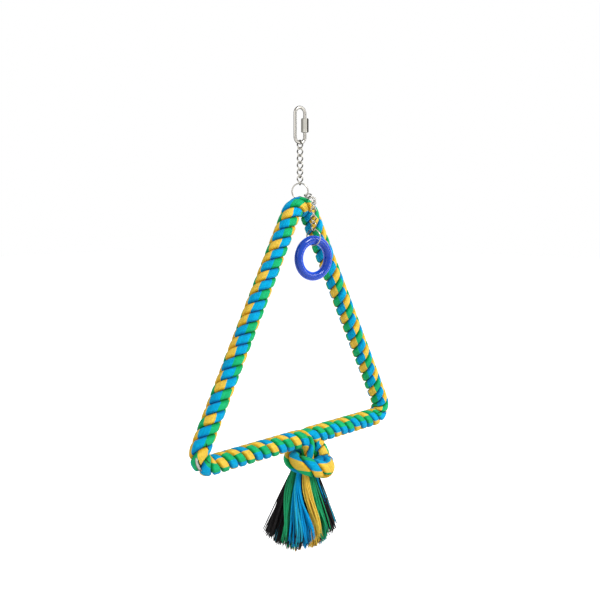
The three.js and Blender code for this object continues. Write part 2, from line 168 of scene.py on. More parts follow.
def smooth_line(marks, steps=16):
    """A smooth line that passes through each of the marked points."""
    ends = [2 * marks[0] - marks[1]] + list(marks) + [2 * marks[-1] - marks[-2]]
    points = []
    for a, b, c, d in zip(ends, ends[1:], ends[2:], ends[3:]):
        for step in range(steps):
            t = step / steps
            points.append(b + (c - a) * (t / 2) + (2 * a - 5 * b + 4 * c - d) * (t * t / 2)
                          + (3 * b - a - 3 * c + d) * (t ** 3 / 2))
    return points + [marks[-1]]


def tangents(points, closed=False):
    last = len(points) - 1
    result = []
    for i in range(len(points)):
        before = points[i - 1] if closed or i > 0 else points[0]
        after = points[(i + 1) % len(points)] if closed or i < last else points[last]
        result.append((after - before).normalized())
    return result


def carried_frames(points, first_side, closed=False):
    """A side direction at each point, carried along the line without turning about it."""
    ways = tangents(points, closed)
    side = (first_side - ways[0] * first_side.dot(ways[0])).normalized()
    sides = [side]
    for before, now in zip(ways, ways[1:]):
        side = before.rotation_difference(now) @ side
        sides.append((side - now * side.dot(now)).normalized())
    if closed:
        back = ways[-1].rotation_difference(ways[0]) @ sides[-1]
        miss = math.atan2(back.cross(sides[0]).dot(ways[0]), back.dot(sides[0]))
        for i, way in enumerate(ways):
            turn = Matrix.Rotation(miss * i / len(ways), 3, way)
            sides[i] = turn @ sides[i]
    return ways, sides


class Build:
    """Collects points, faces and per-point values, and makes one mesh of them."""

    def __init__(self):
        self.points, self.faces = [], []
        self.values = {}

    def add(self, point, **values):
        self.points.append(point)
        for name, value in values.items():
            self.values.setdefault(name, []).append(value)

    def rings(self, start, count, sides, closed=False, caps=True):
        """Faces between rings of points that were added one after another."""
        for ring in range(count if closed else count - 1):
            here = start + ring * sides
            there = start + ((ring + 1) % count) * sides
            for side in range(sides):
                across = (side + 1) % sides
                self.faces.append((here + side, here + across, there + across, there + side))
        if caps and not closed:
            self.faces.append(tuple(start + side for side in reversed(range(sides))))
            last = start + (count - 1) * sides
            self.faces.append(tuple(last + side for side in range(sides)))

    def tube(self, points, radius, sides, first_side, closed=False, **values):
        """A round tube along points. Its radius is a number or one for each point."""
        ways, sides_ = carried_frames(points, first_side, closed)
        start = len(self.points)
        length = 0
        for i, point in enumerate(points):
            if i:
                length += (point - points[i - 1]).length
            size = radius[i] if isinstance(radius, list) else radius
            third = ways[i].cross(sides_[i])
            for side in range(sides):
                angle = 360 * side / sides
                given = dict(values)
                if "yarn" in given:
                    given["yarn"] = (side / sides, length, given["yarn"])
                self.add(point + size * between(sides_[i], third, angle), **given)
        self.rings(start, len(points), sides, closed)

    def make(self, name, material, smooth_faces=True):
        mesh = bpy.data.meshes.new(name)
        mesh.from_pydata([point * MM for point in self.points], [], self.faces)
        for key, values in self.values.items():
            if isinstance(values[0], tuple):
                layer = mesh.attributes.new(key, "FLOAT_VECTOR", "POINT")
                layer.data.foreach_set("vector", [n for value in values for n in value])
            else:
                layer = mesh.attributes.new(key, "FLOAT", "POINT")
                layer.data.foreach_set("value", values)
        mesh.update()
        mesh.validate()
        if smooth_faces:
            mesh.polygons.foreach_set("use_smooth", [True] * len(mesh.polygons))
        mesh.materials.append(material)
        piece = bpy.data.objects.new(name, mesh)
        bpy.context.scene.collection.objects.link(piece)
        return piece


def place(piece, body, slot, *nodes):
    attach(piece, body)
    if nodes:
        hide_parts(*nodes)
    return piece


# ---------------------------------------------------------------- materials


def linear(red, green, blue):
    """A colour given as screen values from 0 to 255, as the shader takes it."""
    def one(value):
        value /= 255
        return value / 12.92 if value <= 0.04045 else ((value + 0.055) / 1.055) ** 2.4
    return (one(red), one(green), one(blue), 1)


class Nodes:
    """A short way to write a material's nodes."""

    def __init__(self, name):
        self.material = bpy.data.materials.new(name)
        self.material.use_nodes = True
        self.tree = self.material.node_tree
        self.shader = self.tree.nodes["Principled BSDF"]

    def new(self, kind, settings=None, **inputs):
        node = self.tree.nodes.new("ShaderNode" + kind)
        for key, value in (settings or {}).items():
            setattr(node, key, value)
        for key, value in inputs.items():
            self.feed(node, key, value)
        return node

    def feed(self, node, key, value):
        index = int(key[1:]) if key[0] == "i" and key[1:].isdigit() else key.replace("_", " ")
        if isinstance(value, bpy.types.NodeSocket):
            self.tree.links.new(value, node.inputs[index])
        else:
            node.inputs[index].default_value = value

    def math(self, operation, a, b=0.0):
        return self.new("Math", {"operation": operation}, i0=a, i1=b).outputs[0]

    def noise(self, vector, scale, detail=2.0, roughness=0.5):
        node = self.new("TexNoise", Vector=vector, Scale=scale, Detail=detail,
                        Roughness=roughness)
        return node.outputs["Fac"]

    def ranged(self, value, low, high, from_low=0.0, from_high=1.0):
        node = self.new("MapRange", Value=value, From_Min=from_low, From_Max=from_high,
                        To_Min=low, To_Max=high)
        return node.outputs[0]

    def attribute(self, name, output):
        return self.new("Attribute", {"attribute_name": name}).outputs[output]

    def object_place(self):
        return self.new("TexCoord").outputs["Object"]

    def tint(self, colour, shade):
        """A colour, or a socket that gives one, made lighter or darker by a shade."""
        plain = colour[:3] if isinstance(colour, tuple) else colour
        return self.new("VectorMath", {"operation": "SCALE"}, i0=plain, Scale=shade).outputs[0]

    def set(self, **inputs):
        for key, value in inputs.items():
            self.feed(self.shader, key, value)

    def bump(self, height, distance, strength=1.0):
        node = self.new("Bump", Height=height, Distance=distance, Strength=strength)
        self.set(Normal=node.outputs[0])


# The colours of the laid rope
BLUE = linear(0, 158, 205)
GREEN = linear(26, 172, 108)
YELLOW = linear(228, 190, 72)

# Yarns side by side round the rope, and how much one differs from the next
rope_yarn_width = 1.5
yarn_shade = (0.9, 1.07)


def finish_cotton(nodes, colour, across, along, yarn, yarn_ridge):
    """Shades, fibres and twist for cotton yarn. across counts yarns, along is in mm."""
    shade = nodes.new("TexWhiteNoise", {"noise_dimensions": "1D"}, W=yarn).outputs[0]
    shade = nodes.ranged(shade, *yarn_shade)
    place_ = nodes.new("CombineXYZ", X=nodes.math("MULTIPLY", across, 6.0),
                       Y=nodes.math("MULTIPLY", along, 0.35), Z=yarn).outputs[0]
    fibres = nodes.noise(place_, 1.0, 3.0, 0.6)
    patches = nodes.noise(nodes.object_place(), 420.0, 3.0, 0.65)
    shade = nodes.math("MULTIPLY", shade, nodes.ranged(fibres, 0.84, 1.14, 0.25, 0.75))
    shade = nodes.math("MULTIPLY", shade, nodes.ranged(patches, 0.9, 1.12, 0.3, 0.7))
    twist = nodes.math("ADD", nodes.math("MULTIPLY", along, 5.2),
                       nodes.math("MULTIPLY", across, 4.0))
    twist = nodes.math("MULTIPLY", nodes.math("SINE", twist), 0.22)
    height = nodes.math("ADD", yarn_ridge, twist)
    height = nodes.math("ADD", height, nodes.math("MULTIPLY", fibres, 0.7))
    nodes.set(Base_Color=nodes.tint(colour, shade),
              Roughness=nodes.ranged(fibres, 0.78, 0.95))
    nodes.set(Sheen_Weight=0.05, Sheen_Roughness=0.45, Specular_IOR_Level=0.08)
    nodes.bump(height, 0.00028, 0.75)
    return nodes.material


def laid_cotton(name):
    """The laid rope: three yarn colours that keep their places round the rope's axis."""
    nodes = Nodes(name)
    yarn_place = nodes.new("SeparateXYZ", Vector=nodes.attribute("yarn", "Vector"))
    across = nodes.math("DIVIDE", yarn_place.outputs[0], rope_yarn_width)
    along = yarn_place.outputs[1]
    waver = nodes.noise(nodes.new("CombineXYZ", X=nodes.math("MULTIPLY", along, 0.12),
                                  Y=yarn_place.outputs[2]).outputs[0], 1.0, 2.0)
    cycle = nodes.math("ADD", nodes.attribute("cycle", "Fac"),
                       nodes.ranged(waver, -0.02, 0.02))
    ramp = nodes.new("ValToRGB", Fac=nodes.math("FRACT", cycle))
    ramp.color_ramp.interpolation = "CONSTANT"
    stops = ramp.color_ramp.elements
    stops[0].position, stops[0].color = 0, YELLOW
    stops[1].position, stops[1].color = 0.335, BLUE
    stops.new(0.68).color = GREEN
    # Painted shade: the colour is darkened and deepened towards the valleys between the
    # strands.
    painted_crease_shade = nodes.ranged(nodes.attribute("crease", "Fac"), 1.0, 1.6, 0.45, 1.0)
    colour = nodes.new("Gamma", Color=ramp.outputs[0], Gamma=painted_crease_shade).outputs[0]
    yarn = nodes.math("ADD", nodes.math("FLOOR", across), yarn_place.outputs[2])
    ridge = nodes.math("ABSOLUTE", nodes.math("SINE", nodes.math("MULTIPLY", across,
                                                                 math.pi)))
    return finish_cotton(nodes, colour, across, along, yarn, ridge)


def yarn_cotton(name, colour):
    """A loose yarn: each has its own number, which gives it its own shade."""
    nodes = Nodes(name)
    yarn_place = nodes.new("SeparateXYZ", Vector=nodes.attribute("yarn", "Vector"))
    across = nodes.math("MULTIPLY", yarn_place.outputs[0], 2.0)
    along = yarn_place.outputs[1]
    plies = nodes.math("ADD", nodes.math("MULTIPLY", along, 0.45), across)
    ridge = nodes.math("ABSOLUTE", nodes.math("SINE", nodes.math("MULTIPLY", plies,
                                                                 math.pi)))
    return finish_cotton(nodes, colour, across, along, yarn_place.outputs[2], ridge)


def steel(name, colour, roughness, rim=0.45, wear=0.06, edge=110):
    """Bright metal with a painted reflection: its colour is lighter face-on and painted
    darker, down to rim, where it is seen aslant. edge is how much light its gloss gives there.
    """
    nodes = Nodes(name)
    spots = nodes.noise(nodes.object_place(), 900.0, 3.0, 0.6)
    broad = nodes.noise(nodes.object_place(), 140.0, 2.0)
    shade = nodes.ranged(broad, 1 - 2 * wear, 1 + wear, 0.3, 0.7)
    # Painted reflection: the colour is made lighter where the metal faces the eye and darker
    # where it is seen aslant.
    painted_light_by_angle = nodes.new("LayerWeight", Blend=0.5).outputs["Facing"]
    shade = nodes.math("MULTIPLY", shade, nodes.ranged(painted_light_by_angle, 1.25, rim, 0.12, 0.62))
    nodes.set(Base_Color=nodes.tint(colour, shade), Metallic=1.0,
              Specular_Tint=linear(edge, edge, edge - 4))
    nodes.set(Roughness=nodes.ranged(spots, roughness - 0.06, roughness + 0.1, 0.3, 0.7))
    nodes.bump(broad, 0.00002, 0.3)
    return nodes.material


def clear_blue_plastic(name):
    """Glossy plastic that lets a little light through, with a painted sheen: its colour is
    lighter where it is seen aslant.
    """
    nodes = Nodes(name)
    swirl = nodes.noise(nodes.object_place(), 45.0, 3.0)
    shade = nodes.ranged(swirl, 0.92, 1.1, 0.3, 0.7)
    # Painted sheen: the colour is made lighter where the plastic is seen aslant.
    painted_light_by_angle = nodes.new("LayerWeight", Blend=0.5).outputs["Facing"]
    shade = nodes.math("MULTIPLY", shade, nodes.ranged(painted_light_by_angle, 0.8, 2.3, 0.3, 0.95))
    colour = nodes.tint(linear(6, 66, 186), shade)
    ripple = nodes.noise(nodes.object_place(), 260.0, 2.0)
    nodes.set(Base_Color=colour, Roughness=nodes.ranged(ripple, 0.08, 0.14))
    nodes.set(Transmission_Weight=0.08, IOR=1.5, Specular_IOR_Level=0.3)
    nodes.bump(swirl, 0.0003, 0.15)
    return nodes.material


rope_cotton = laid_cotton("rope_cotton")
bright_steel = steel("bright_steel", linear(158, 155, 149), 0.16, 0.06)
nut_steel = steel("nut_steel", linear(186, 184, 176), 0.2, 0.12)
chain_steel = steel("chain_steel", linear(152, 149, 141), 0.2, 0.12)
side_steel = steel("side_steel", linear(162, 159, 151), 0.3, 0.2)
core_steel = steel("core_steel", linear(150, 148, 144), 0.36, 0.5)
blue_plastic = clear_blue_plastic("blue_plastic")
yarns_of = {
    "green": yarn_cotton("green_yarn", linear(32, 158, 102)),
    "blue": yarn_cotton("blue_yarn", linear(0, 160, 224)),
    "cyan": yarn_cotton("cyan_yarn", linear(40, 176, 205)),
    "yellow": yarn_cotton("yellow_yarn", linear(255, 214, 84)),
    "amber": yarn_cotton("amber_yarn", linear(206, 140, 28)),
    "black": yarn_cotton("black_yarn", linear(34, 31, 32)),
}

# ---------------------------------------------------------------- the laid rope

# The lay of the rope: where strand 0's crest lies round it, in degrees, 34.75 mm a turn
lay_length = 34.75
# A strand's section, as shares of the rope's radius: how far out its middle is, and half
# of its depth and of its width
strand_reach, strand_depth, strand_width = 0.57, 0.43, 0.66
# How the yarn colours drift round each strand: (mm along the loop, degrees)
colour_drift = (
    ((0, 74), (120, 76), (144, 38), (178, 4), (250, -28), (370, -38), (428, -130),
     (500, -154), (680, -160), (707, -200), (820, -196)),
    ((0, -15), (105, -17), (134, -45), (167, -63), (220, -81), (340, -69), (375, -76),
     (413, -112), (453, -204), (523, -222), (662, -223), (697, -238), (730, -228),
     (820, -226)),
    ((0, -47), (92, -47), (126, -68), (190, -65), (260, -40), (330, -13), (398, -2),
     (441, -95), (511, -107), (616, -117), (686, -141), (718, -163), (820, -162)),
)
section_points = 32
station_step = 0.8


def crest_angle(strand, s):
    return 360 * s / lay_length + 120 * strand


def loop_points():
    """The rope's centreline from the perch's middle, up the left side and round again."""
    x_way = Vector((1, 0, 0))
    run = corner_bend / math.tan(half_apex)
    left = Vector((-(side_length / 2 - run), 0, perch_z + corner_bend))
    right = Vector((-left.x, 0, left.z))
    top = Vector((0, 0, apex_z - apex_bend))
    return joined([Vector((neck_top_x, 0, perch_z))],
                  arc(left, corner_bend, -90, -210, x_way, UP),
                  arc(top, apex_bend, 150, 30, x_way, UP),
                  arc(right, corner_bend, 30, -90, x_way, UP),
                  [Vector((rope_right_x, 0, perch_z)), Vector((11, 0.8, perch_z - 0.6)),
                   Vector((5, 2.5, perch_z - 2.5))])


def strands(build, points, ways, outs, start_s, radius_at, drift=colour_drift,
            crest_at=crest_angle, gap_at=lambda strand, s: 1):
    """Sweeps the rope's strands along a line of even points, in build."""
    stations = []
    s = start_s
    for i, point in enumerate(points):
        if i:
            s += (point - points[i - 1]).length
        stations.append((s, point, outs[i], ways[i].cross(outs[i])))
    for strand in range(3):
        start = len(build.points)
        for s, point, out, third in stations:
            radius = radius_at(s)
            crest = crest_at(strand, s)
            base = anchored(drift[strand], s)
            width = strand_width * gap_at(strand, s)
            for corner in range(section_points):
                angle = 2 * math.pi * corner / section_points
                x = radius * (strand_reach + strand_depth * math.cos(angle))
                y = radius * width * math.sin(angle)
                aside = math.degrees(math.atan2(y, x))
                turn = crest + aside
                reach = math.hypot(x, y)
                # The crease value grows from 0 at a strand's crest to 1 in the valleys beside
                # it, where the rope's material paints shade into the colour.
                build.add(point + reach * between(out, third, turn),
                          cycle=(turn - base) / 180, crease=min(abs(aside) / 60, 1),
                          yarn=(math.radians(turn) * radius, s, 7 * strand))
        build.rings(start, len(stations), section_points)


def add_rope():
    points = resampled(loop_points(), station_step)
    ways = tangents(points)
    outs = [Vector((-way.z, 0, way.x)) for way in ways]
    build = Build()
    strands(build, points, ways, outs, 0, lambda s: rope_radius)
    place(build.make("rope_strands", rope_cotton), "frame", "rope_blue", "rope")
    return points, ways, outs


loop, loop_ways, loop_outs = add_rope()

# Black yarns that have worked loose on the rope: (mm along it, degrees) at each end
stray_yarns = (((155, 64), (150.5, 96)), ((141.5, 88), (136, 96)), ((142.5, 41), (137, 45)),
               ((710, 128), (699, 124)), ((820, 136), (816, 132)))
stray_radius, stray_rise, stray_steps = 0.38, 0.1, 12
# Where the core wire stands out between the strands, at the outside of the left corner
glimpse_start, glimpse_end, glimpse_turn = 132, 147, 30
glimpse_depth, glimpse_reach, glimpse_steps = 5.5, 9.3, 24


def rope_point(s, turn, reach):
    index = min(round(s / station_step), len(loop) - 1)
    out, way = loop_outs[index], loop_ways[index]
    return loop[index] + reach * between(out, way.cross(out), turn)


def surface_reach(s, turn):
    """How far the strands' surface stands from the rope's axis, at a place round it."""
    aside = abs((turn - crest_angle(0, s) + 60) % 120 - 60)

    def section(angle):
        return Vector((strand_reach + strand_depth * math.cos(math.radians(angle)),
                       strand_width * math.sin(math.radians(angle)), 0))
    nearest = min(range(100), key=lambda angle: abs(
        math.degrees(math.atan2(section(angle).y, section(angle).x)) - aside))
    return rope_radius * section(nearest).length


def add_stray_yarns():
    build = Build()
    for number, (start, end) in enumerate(stray_yarns):
        points = []
        for step in range(stray_steps + 1):
            share = step / stray_steps
            s, turn = lerp(start[0], end[0], share), lerp(start[1], end[1], share)
            rise = stray_rise if 0 < step < stray_steps else -stray_radius
            points.append(rope_point(s, turn, surface_reach(s, turn) + rise))
        build.tube(points, stray_radius, 6, FRONT, yarn=float(number))
    place(build.make("stray_yarns", yarns_of["black"]), "frame", "rope_black")


def add_wire_glimpse():
    build = Build()
    points = []
    for step in range(glimpse_steps + 1):
        share = step / glimpse_steps
        out = math.sin(math.pi * share) ** 0.6
        points.append(rope_point(lerp(glimpse_start, glimpse_end, share), glimpse_turn,
                                 lerp(glimpse_depth, glimpse_reach, out)))
    build.tube(points, core_wire / 2, 16, FRONT)
    place(build.make("core_wire_glimpse", core_steel), "frame", "core_steel")


add_stray_yarns()
add_wire_glimpse()

# ---------------------------------------------------------------- the knot


def knot_point(x, y, drop):
    return Vector((x, y, perch_z - drop))


def round_neck(degrees, reach, drop):
    """A point about the neck's middle, a drop below the perch's centreline."""
    return Vector((knot_x, knot_y, perch_z - drop)) + reach * level(degrees)


# The neck: its centreline, its radius and its lay, which is long where it is pulled
neck_marks = (knot_point(neck_top_x, 0, 0), knot_point(1.5, -0.6, 0.8),
              knot_point(6, -2.6, 4.5), knot_point(knot_x, knot_y, 11),
              knot_point(knot_x, knot_y, 18), knot_point(knot_x, knot_y, 31.6))
neck_radii = ((-34, 6.4), (-22, 7.0), (-14, 8.4), (-5, 9.6), (0, rope_radius))
neck_lay = 60
# Its colours go on from the rope's end, each turned on a little where the neck bends down
neck_drift = tuple(((-17, turns[0][1] + 38), (-7, turns[0][1])) for turns in colour_drift)


def add_neck():
    """The left rope end, turned down through the wrap."""
    down = resampled(smooth_line(neck_marks), station_step)
    ways, outs = carried_frames(down, DOWN)
    length = sum((b - a).length for a, b in zip(down, down[1:]))
    build = Build()
    strands(build, list(reversed(down)), [-way for way in reversed(ways)],
            list(reversed(outs)), -length, lambda s: anchored(neck_radii, s),
            drift=neck_drift, crest_at=lambda strand, s: 360 * s / neck_lay + 120 * strand)
    place(build.make("knot_neck_strands", rope_cotton), "frame", "rope_green",
          "knot_neck")


# The wrap: down from under the perch's right part, across the front of the neck from
# right to left, round behind it, and in among the tassel's roots
wrap_marks = (knot_point(30, 0.5, 1.5), knot_point(26.5, 0.5, 4), knot_point(23.8, -3.8, 9.5),
              knot_point(23.2, -7.8, 15.5), knot_point(23.5, -10, 22),
              knot_point(21.5, -13.5, 28), round_neck(-66, 16, 30.5),
              round_neck(-105, 16.3, 29), round_neck(-138, 16.5, 26.3),
              round_neck(-180, 16.5, 24), round_neck(-228, 16.5, 22.7),
              round_neck(-270, 16.5, 23.5), round_neck(-310, 15.8, 27),
              round_neck(-340, 13, 32), round_neck(-370, 8, 38))
# Its radius, (mm along the wrap, mm): fullest in the middle of each lobe of the tight bend
wrap_radii = ((0, 3), (8.5, 4), (13, 8.6), (17.5, 8.2), (22.5, 10), (27, 8.6), (31, 10.6),
              (36, 10.4), (42, 12), (47, 10), (52, knot_radius))
# (mm along the wrap, degrees): where strand 0's crest lies, and how the colours drift
# round each strand. The crest steps on from lobe to lobe, because the bend opens the
# strands like a fan
wrap_crest = ((0, -200), (10, -70), (15.2, -45), (19.6, 66), (25, 80), (29.2, 236),
              (33, 218), (36, 206), (39, 182), (43, 142), (47, 132), (50.4, 160),
              (55.2, 210), (58, 248), (61.6, 296), (66, 332), (72, 378), (88, 495),
              (140, 1034))
wrap_drift = (((28, 50), (60, -17)), ((9, 5), (15, 24), (40, -66)),
              ((14, 50), (22, -14), (54, -14), (74, 26)))
# How much wider than usual its strands are where the bend opens them
wrap_fan = ((24, 1), (31, 1.3), (40, 1.35), (46, 1))
# From here on, in mm, the wrap lies level round the neck
wrap_level_from = 54


def add_wrap():
    """The right rope end, wound round the neck."""
    points = resampled(smooth_line(wrap_marks), station_step)
    ways = tangents(points)
    first_level = round(wrap_level_from / station_step)
    outs = []
    for point, way in zip(points[first_level:], ways[first_level:]):
        out = Vector((point.x - knot_x, point.y - knot_y, 0))
        outs.append((out - way * out.dot(way)).normalized())
    back_points = list(reversed(points[:first_level + 1]))
    back = carried_frames(back_points, outs[0])[1]
    outs = list(reversed(back[1:])) + outs
    build = Build()
    strands(build, points, ways, outs, 0, lambda s: anchored(wrap_radii, s),
            drift=wrap_drift, gap_at=lambda strand, s: anchored(wrap_fan, s),
            crest_at=lambda strand, s: anchored(wrap_crest, s) + 120 * strand)
    place(build.make("knot_wrap_strands", rope_cotton), "frame", "rope_yellow",
          "knot_wrap")


add_neck()
add_wrap()

# ---------------------------------------------------------------- the tassel

# Locks of yarn: (colour, yarns, angle and half spread at the root, the same at the tip,
# and for some, the shares of the usual reach that they take at the tip and at the root)
tassel_locks = (
    ("black", 84, 138, 20, 146, 30, 1.0, 0.7), ("green", 30, 178, 14, 200, 7),
    ("blue", 62, 207, 9, 229, 21), ("yellow", 48, 236, 17, 258, 5, 1.03, 1.05),
    ("green", 32, 264, 10, 276, 16), ("blue", 26, 286, 13, 306, 9),
    ("black", 60, 312, 20, 316, 26), ("green", 34, 352, 24, 360, 24),
    ("blue", 40, 52, 22, 52, 22),
)
# More yarns, in the same terms, which lie among the locks or behind them
accents = (
    ("cyan", 3, 160, 1, 166, 1, 1.0, 1.0), ("yellow", 3, 190, 2, 203, 1, 1.0, 0.4),
    ("amber", 14, 208, 8, 216, 9, 0.6, 1.0), ("amber", 9, 242, 8, 262, 3, 0.97, 0.5),
    ("cyan", 6, 296, 5, 309, 7, 1.0, 1.0), ("yellow", 26, 92, 20, 92, 20, 0.8, 0.9),
    ("black", 14, 190, 8, 206, 6, 0.9, 0.5), ("black", 40, 216, 10, 224, 17, 0.97, 0.5),
    ("black", 24, 266, 10, 279, 14, 1.02, 0.9), ("black", 40, 276, 10, 292, 13, 0.99, 0.7),
    ("cyan", 14, 204, 6, 224, 16, 1.0, 0.9), ("black", 14, 236, 8, 238, 6, 0.93, 0.5),
    ("green", 8, 205, 8, 211, 8, 0.97, 0.8),
)
lock_slots = {"black": "rope_black", "green": "rope_green", "blue": "rope_blue",
              "yellow": "rope_yellow", "cyan": "rope_blue", "amber": "rope_yellow"}
# Reach from the tassel's axis, least and most, at the root and at the tip, in mm
tassel_root, tassel_tip = (3, 13), (14, 41.5)
middle_yarns, middle_root, middle_tip = 150, 9, 33
# How far the fan's middle leans by its tips, and how much flatter than round it is
tassel_lean = Vector((-1.8, 1.9, 0))
tassel_axis = Vector((knot_x - 3.9, knot_y + 4.3, 0))
tassel_flatness = 0.88
# How much shorter the yarns are cut everywhere, and how much more at the fan's outside
trim, trim_rise = 4, 23
clump_yarns, clump_bow = (2, 7), 2.6
yarn_radius, yarn_steps = 0.62, 16
frayed_fibres, fibre_radii = 3, [0.3, 0.22, 0.07]
tassel_top_z = neck_end_z - touch_gap


def tassel_yarn(build, root_angle, tip_angle, root_reach, tip_reach, shorter, bow=0):
    """One yarn from under the knot to its tip, a little wavy, with a frayed end."""
    number = draws.randrange(1000)
    wave_size = draws.uniform(0.15, 0.7)
    wave_start = draws.uniform(0, 360)
    waves = draws.uniform(0.6, 1.7)
    rise = trim_rise * (tip_reach / tassel_tip[1]) ** 2
    length = tassel_length - trim - rise - shorter
    points = []
    for step in range(yarn_steps + 1):
        t = step / yarn_steps
        flare = t ** 1.05
        angle = lerp(root_angle, tip_angle, smooth(t))
        reach = lerp(root_reach, tip_reach, flare)
        sway = wave_size * t * math.sin(math.radians(wave_start + 360 * waves * t))
        sway += bow * math.sin(math.pi * t * 1.3)
        aside = reach * level(angle) + sway * level(angle + 90)
        aside.y *= lerp(1, tassel_flatness, t)
        height = tassel_top_z + 2 - (length + 2) * t
        points.append(tassel_axis + tassel_lean * flare + aside + UP * height)
    radii = [yarn_radius * (1 - 0.3 * smooth((step / yarn_steps - 0.85) / 0.15))
             for step in range(yarn_steps + 1)]
    build.tube(points, radii, 6, level(root_angle), yarn=float(number))
    tip, way = points[-1], (points[-1] - points[-2]).normalized()
    for fibre in range(frayed_fibres):
        spread = level(draws.uniform(0, 360)) * draws.uniform(0.2, 1.4)
        end = tip + way * draws.uniform(1, 3.5) + spread
        middle = tip + way * 0.8 + spread * 0.35
        build.tube([tip - way, middle, end], fibre_radii, 4, level(root_angle),
                   yarn=float(number) + 0.3 * fibre)


def tassel_lock(build, count, root, root_spread, tip, tip_spread, share=1.0,
                root_share=1.0):
    """A lock: its yarns hang together in clumps, with dark gaps between the clumps."""
    left_in_clump = 0
    for yarn in range(count):
        if not left_in_clump:
            left_in_clump = draws.randint(*clump_yarns)
            clump_aside = draws.uniform(-1, 1)
            clump_out = draws.uniform(0.3, 1)
            clump_shorter = draws.uniform(-2, 3.5)
            bow = draws.uniform(-clump_bow, clump_bow)
        left_in_clump -= 1
        aside = min(max(clump_aside + draws.gauss(0, 0.12), -1.1), 1.1)
        out = min(max(clump_out + draws.gauss(0, 0.1), 0.05), 1)
        root_aside = lerp(aside, draws.uniform(-1, 1), 0.5)
        tassel_yarn(build, root + root_aside * root_spread, tip + aside * tip_spread,
                    lerp(*tassel_root, out) * root_share,
                    lerp(*tassel_tip, out) * share,
                    clump_shorter + draws.uniform(-1.5, 2.5), bow)


def add_tassel():
    for index, (colour, count, *spread) in enumerate(tassel_locks):
        build = Build()
        tassel_lock(build, count, *spread)
        piece = build.make("tassel_yarns_" + str(index + 1), yarns_of[colour])
        place(piece, "frame", lock_slots[colour], "tassel_lock_" + str(index + 1))
    for index, (colour, count, *spread) in enumerate(accents):
        build = Build()
        tassel_lock(build, count, *spread)
        piece = build.make("accent_yarns_" + str(index + 1), yarns_of[colour])
        place(piece, "frame", lock_slots[colour])
    build = Build()
    for yarn in range(middle_yarns):
        out = math.sqrt(draws.random())
        angle = draws.uniform(0, 360)
        tassel_yarn(build, angle, angle, middle_root * out, middle_tip * out,
                    draws.uniform(-2, 4))
    place(build.make("tassel_yarns_middle", yarns_of["black"]), "frame", "rope_yellow",
          "tassel_lock_middle")


add_tassel()

# ---------------------------------------------------------------- hardware


def oval(half_width, half_length, across, upward):
    """An oval about the origin: its upper bend, left leg and lower bend."""
    leg = half_length - half_width
    return joined(arc(upward * leg, half_width, 0, 180, across, upward, 0.4),
                  arc(upward * -leg, half_width, 180, 360, across, upward, 0.4))


nut_sides = 96


def add_screw_link():
    bend = (link_width - link_wire) / 2
    leg = link_length / 2 - link_width / 2
    across = level(link_turn)
    centre = Vector((0, 0, link_centre_z))
    upper = nut_length / 2 - stud_engagement
    points = joined([bend * across + UP * (upper - stud_gap)],
                    arc(UP * -leg, bend, 0, -180, across, UP, 0.4),
                    arc(UP * leg, bend, 180, 0, across, UP, 0.4),
                    [bend * across + UP * upper])
    points = resampled([centre + point for point in points], 0.4)
    build = Build()
    build.tube(points, link_wire / 2, 24, across.cross(UP))
    place(build.make("screw_link_wire", bright_steel), "quick_link", "link_steel",
          "quick_link_body")

    build = Build()
    flat = nut_across_flats / 2
    corner = flat / math.cos(math.radians(30))
    half = nut_length / 2
    bore = link_wire / 2 + nut_clearance
    stations = [(-half, flat * 0.93), (-half + 0.25, flat), (-half + 0.75, corner),
                (half - 0.75, corner), (half - 0.25, flat), (half, flat * 0.93)]
    middle = centre + bend * across
    third = UP.cross(across)

    def ring(height, limit, inside=False):
        for side in range(nut_sides):
            angle = 360 * side / nut_sides
            off = angle % 60 - 30
            hexagon = flat / math.cos(math.radians(off))
            reach = bore if inside else min(hexagon, limit)
            build.add(middle + UP * height + reach * between(across, third, angle + 30))

    ring(-half, 0, inside=True)
    for height, limit in stations:
        ring(height, limit)
    ring(half, 0, inside=True)
    build.rings(0, len(stations) + 2, nut_sides, closed=True)
    nut = build.make("screw_link_nut", nut_steel)
    nut.data.set_sharp_from_angle(angle=math.radians(28))
    place(nut, "nut", "link_steel", "quick_link_nut")


def chain_link_points():
    """One chain link standing along Z, crown tangent along X at its top, then twisted."""
    half_width = (chain_width - chain_wire) / 2
    half_length = (chain_length - chain_wire) / 2
    leg = half_length - half_width
    flat = resampled(oval(half_width, half_length, Vector((1, 0, 0)), UP)
                     + [Vector((half_width, 0, leg))], 0.35)[:-1]
    points = []
    for point in flat:
        turn = chain_twist * min(max((leg - point.z) / (2 * leg), 0), 1)
        points.append(turned(Vector((point.x, 0, point.z)), UP, turn))
    return points


link_points = chain_link_points()


def add_chain_link(name, body, node, seat, seat_tangent, along, tangent, distance,
                   material):
    """Hangs a link from a wire. Returns its own lower crown, as the next wire."""
    upward = -along
    lift = (upward - seat_tangent * upward.dot(seat_tangent)).normalized()
    across = (tangent - upward * tangent.dot(upward)).normalized()
    third = upward.cross(across)
    top = seat + lift * distance
    half = (chain_length - chain_wire) / 2
    basis = Matrix((across, third, upward)).transposed()
    build = Build()
    build.tube([top + basis @ (point - UP * half) for point in link_points],
               chain_wire / 2, 12, third, closed=True)
    place(build.make(name, material), body, "chain_steel", node)
    crown = top + along * (chain_length - chain_wire)
    return crown, turned(across, upward, chain_twist)


def add_hanger_chain():
    seat = Vector((0, 0, link_floor_z - link_wire / 2))
    seat_tangent = level(link_turn)
    distance = link_wire / 2 + touch_gap + chain_wire / 2
    for count in range(1, hanger_link_count + 1):
        tangent = level(link_turn + count * hanger_turn + 90)
        node = "hanger_link_" + str(count)
        seat, seat_tangent = add_chain_link("hanger_wire_" + str(count), node, node, seat,
                                            seat_tangent, DOWN, tangent, distance,
                                            chain_steel)
        distance = crown_seat


